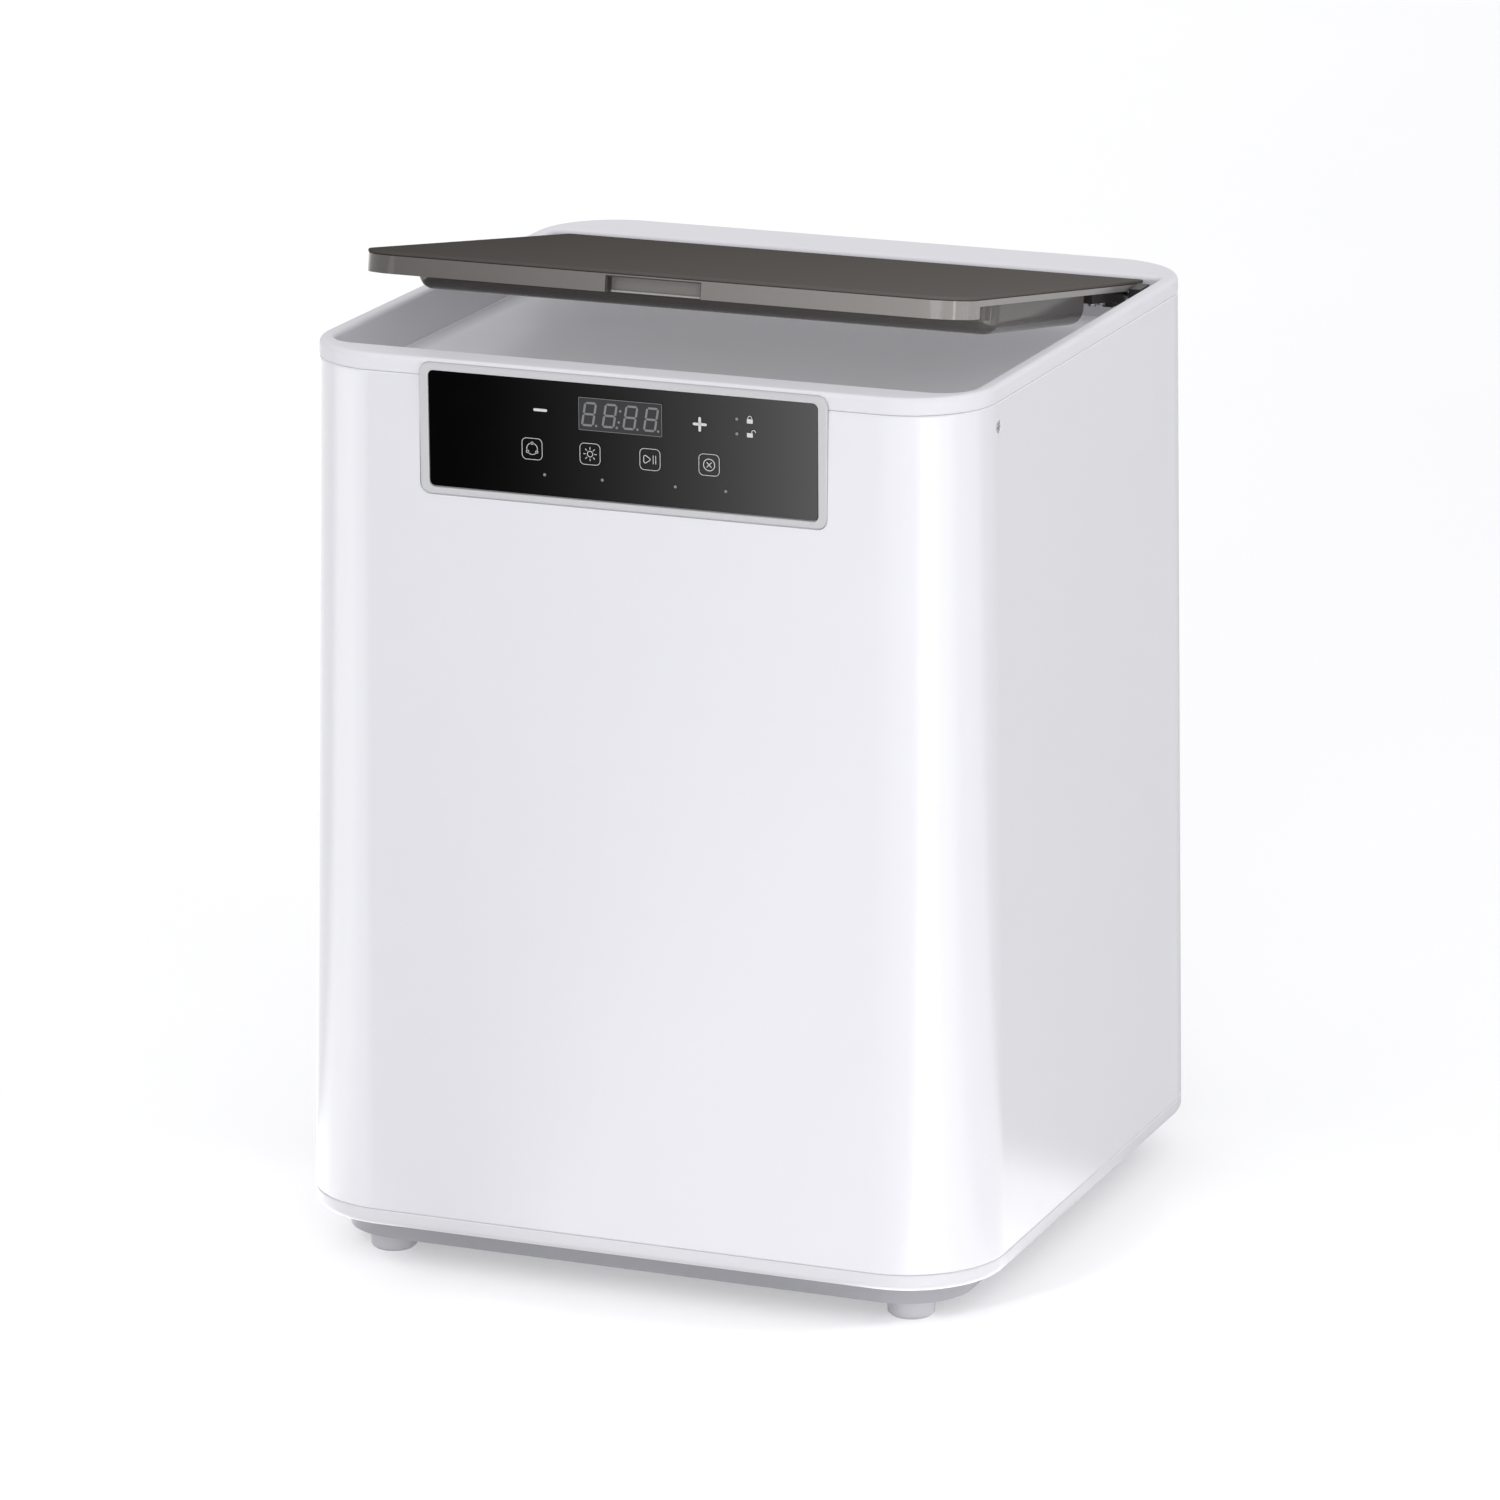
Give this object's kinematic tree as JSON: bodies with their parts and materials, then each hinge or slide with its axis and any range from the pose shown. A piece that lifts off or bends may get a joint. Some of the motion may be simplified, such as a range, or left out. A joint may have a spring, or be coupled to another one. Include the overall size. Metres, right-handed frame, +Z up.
{
  "type": "resin wash and cure station",
  "caption": "Free-standing cabinet with a wash tank and stirring drive inside, a touch panel at the top front and a smoked lid hinged at the rear.",
  "frame": {"origin": "centre of the footprint, on the surface that the feet rest on", "axes": "+Z up, the control panel faces -Y, +X to the right seen from the front"},
  "size_m": [0.418, 0.4182, 0.5812],
  "materials": {
    "shell_gloss_white": "moulded plastic, glossy, slightly cool white",
    "trim_satin_grey": "moulded plastic, satin light grey",
    "panel_black_gloss": "polished black panel with light grey printed marks",
    "display_grey": "unlit display, dark grey",
    "circuit_board": "green solder resist with solder and parts",
    "plinth_grey": "fine textured mid-grey plastic",
    "foot_rubber": "moulded grey rubber",
    "screw_steel": "zinc plated steel",
    "smoked_lid": "smoked sheet, glossy, brownish grey",
    "smoked_frame": "moulded smoked plastic, satin gloss",
    "hinge_dark": "dark moulded plastic",
    "magnet_nickel": "nickel plated",
    "cover_grey": "satin grey plastic",
    "pin_steel": "ground steel",
    "seal_rubber": "soft black rubber",
    "liner_grey": "reflective grey plastic",
    "tank_clear": "clear solvent-proof plastic",
    "impeller_white": "white moulded nylon",
    "basket_steel": "bent stainless sheet",
    "led_board": "white solder resist with light emitting diodes",
    "diffuser": "clear cover strip",
    "motor_metal": "dark painted can",
    "brass_post": "turned brass",
    "supply_case": "folded aluminium",
    "socket_black": "black moulded plastic, finely textured",
    "fan_black": "black moulded plastic"
  },
  "bodies": {
    "cabinet": {"outer_shell": "shell_gloss_white", "rim_frame": "trim_satin_grey", "panel_bezel": "trim_satin_grey", "panel_glass": "panel_black_gloss", "display_module": "display_grey", "touch_key_board": "circuit_board", "base_tray": "trim_satin_grey", "plinth_cover": "plinth_grey", "foot_front_left": "foot_rubber", "foot_front_right": "foot_rubber", "foot_rear_left": "foot_rubber", "foot_rear_right": "foot_rubber", "foot_screws": "screw_steel", "base_screws": "screw_steel", "side_screws": "screw_steel", "hinge_bracket_left": "hinge_dark", "hinge_bracket_right": "hinge_dark", "hinge_pin_left": "pin_steel", "hinge_pin_right": "pin_steel", "lid_sensor": "circuit_board", "tank_cover": "cover_grey", "cover_seal": "seal_rubber", "chamber_liner": "liner_grey", "wash_tank": "tank_clear", "impeller_post": "pin_steel", "impeller_cap": "impeller_white", "impeller_guard": "basket_steel", "wash_basket": "basket_steel", "uv_board_left": "led_board", "uv_board_right": "led_board", "uv_cover_left": "diffuser", "uv_cover_right": "diffuser", "motor_bracket": "basket_steel", "drive_motor": "motor_metal", "motor_screws": "screw_steel", "control_board": "circuit_board", "board_standoffs": "brass_post", "power_supply": "supply_case", "socket_plate": "socket_black", "mains_inlet": "socket_black", "switch_body": "socket_black", "socket_screws": "screw_steel", "vent_grille": "socket_black", "fan_frame": "fan_black", "fan_screws": "screw_steel"},
    "lid": {"lid_plate": "smoked_lid", "lid_frame": "smoked_frame", "lid_box": "smoked_frame", "lid_arm_left": "hinge_dark", "lid_arm_right": "hinge_dark", "lid_arm_screws": "screw_steel", "lid_magnet": "magnet_nickel", "lid_bumpers": "seal_rubber"},
    "wash_impeller": {"impeller": "impeller_white", "impeller_magnets": "magnet_nickel"},
    "drive_rotor": {"motor_shaft": "pin_steel", "magnet_rotor": "hinge_dark", "rotor_magnets": "magnet_nickel"},
    "fan_blades": {"fan_rotor": "fan_black"},
    "rocker": {"switch_rocker": "socket_black"}
  },
  "joints": [
    {"name": "lid_hinge", "type": "hinge", "parent": "cabinet", "child": "lid", "pos_m": [0, 0.1323, 0.5253], "axis": [-1, 0, 0], "range_deg": [-9.2, 81]},
    {"name": "drive_spin", "type": "hinge", "parent": "cabinet", "child": "drive_rotor", "pos_m": [0, -0.009, 0.09], "axis": [0, 0, 1], "continuous": true},
    {"name": "impeller_spin", "type": "hinge", "parent": "cabinet", "child": "wash_impeller", "pos_m": [0, -0.009, 0.115], "axis": [0, 0, 1], "continuous": true},
    {"name": "fan_spin", "type": "hinge", "parent": "cabinet", "child": "fan_blades", "pos_m": [-0.095, 0.19, 0.078], "axis": [0, 1, 0], "continuous": true},
    {"name": "rocker_tilt", "type": "hinge", "parent": "cabinet", "child": "rocker", "pos_m": [0.074, 0.2028, 0.075], "axis": [-1, 0, 0], "range_deg": [0, 22]}
  ],
  "couplings": [
    {"joint": "impeller_spin", "follows": "drive_spin", "ratio": 1}
  ]
}
